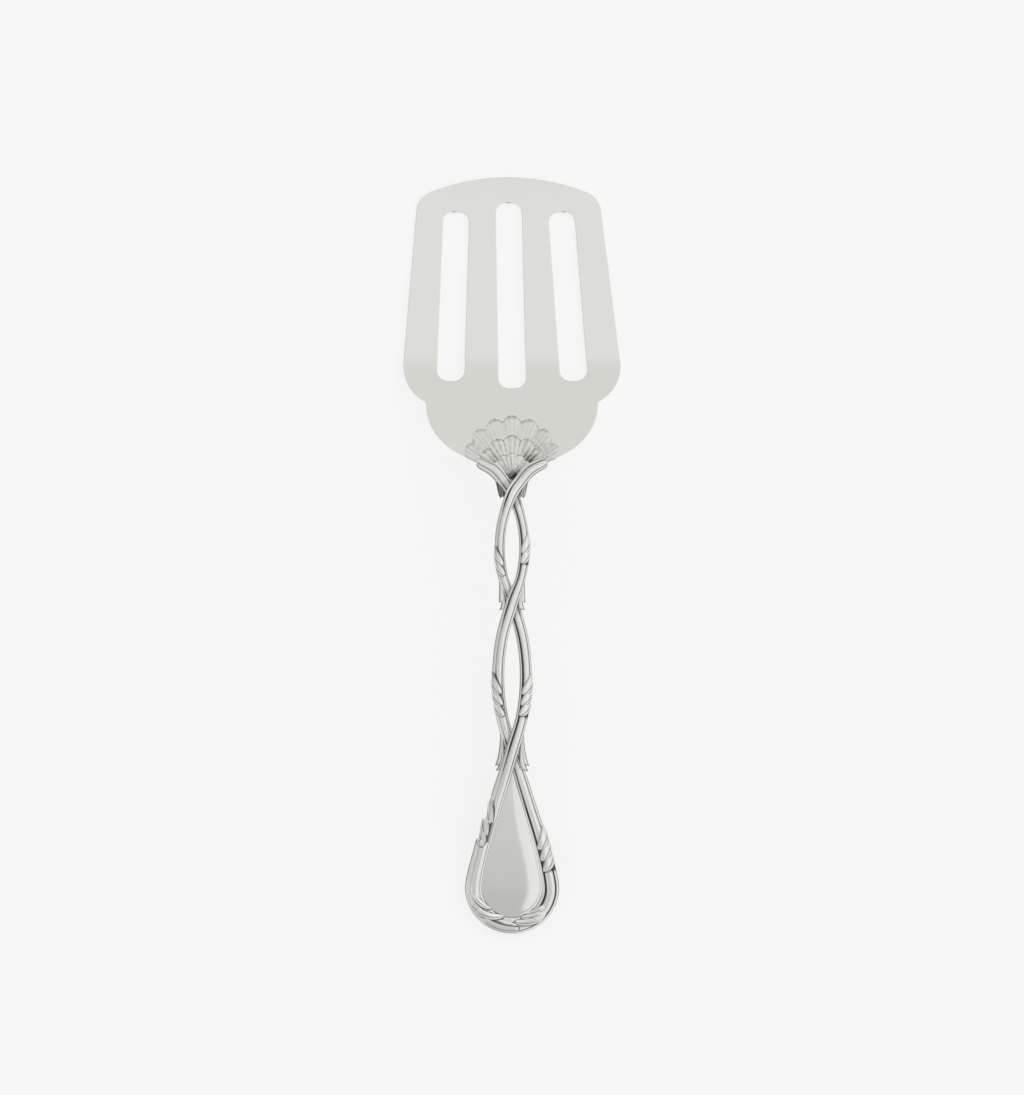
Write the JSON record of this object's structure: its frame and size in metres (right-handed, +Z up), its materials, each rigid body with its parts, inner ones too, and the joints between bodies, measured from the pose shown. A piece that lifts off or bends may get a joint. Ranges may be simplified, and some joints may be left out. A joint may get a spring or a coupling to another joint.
{
  "type": "fish serving fork",
  "caption": "Silver fish serving fork with a broad slotted blade, a palmette on its cranked heel and an openwork handle of twined reeded stems that ends in a domed drop.",
  "frame": {"origin": "on the table that the fork lies on, under the middle of its length and width", "axes": "+Y from the handle end to the blade tip, +Z up out of the front face, +X to the right seen from above with the blade away from the viewer"},
  "size_m": [0.0706, 0.245, 0.0239],
  "materials": {
    "polished_silver": "polished",
    "reeded_silver": "polished",
    "chased_silver": "satin"
  },
  "bodies": {
    "root": {"blade": "polished_silver", "drop_panel": "polished_silver", "right_stem": "reeded_silver", "left_stem": "reeded_silver", "palmette": "chased_silver", "upper_left_sheath": "chased_silver", "upper_right_sheath": "chased_silver", "lower_left_sheath": "chased_silver", "lower_right_sheath": "chased_silver", "drop_left_sheath": "chased_silver", "drop_right_sheath": "chased_silver", "neck_calyx_left": "chased_silver", "neck_calyx_right": "chased_silver", "middle_calyx_left": "chased_silver", "middle_calyx_right": "chased_silver", "lower_calyx_left": "chased_silver", "lower_calyx_right": "chased_silver", "left_leaf_spray": "chased_silver", "right_leaf_spray": "chased_silver"}
  },
  "joints": []
}
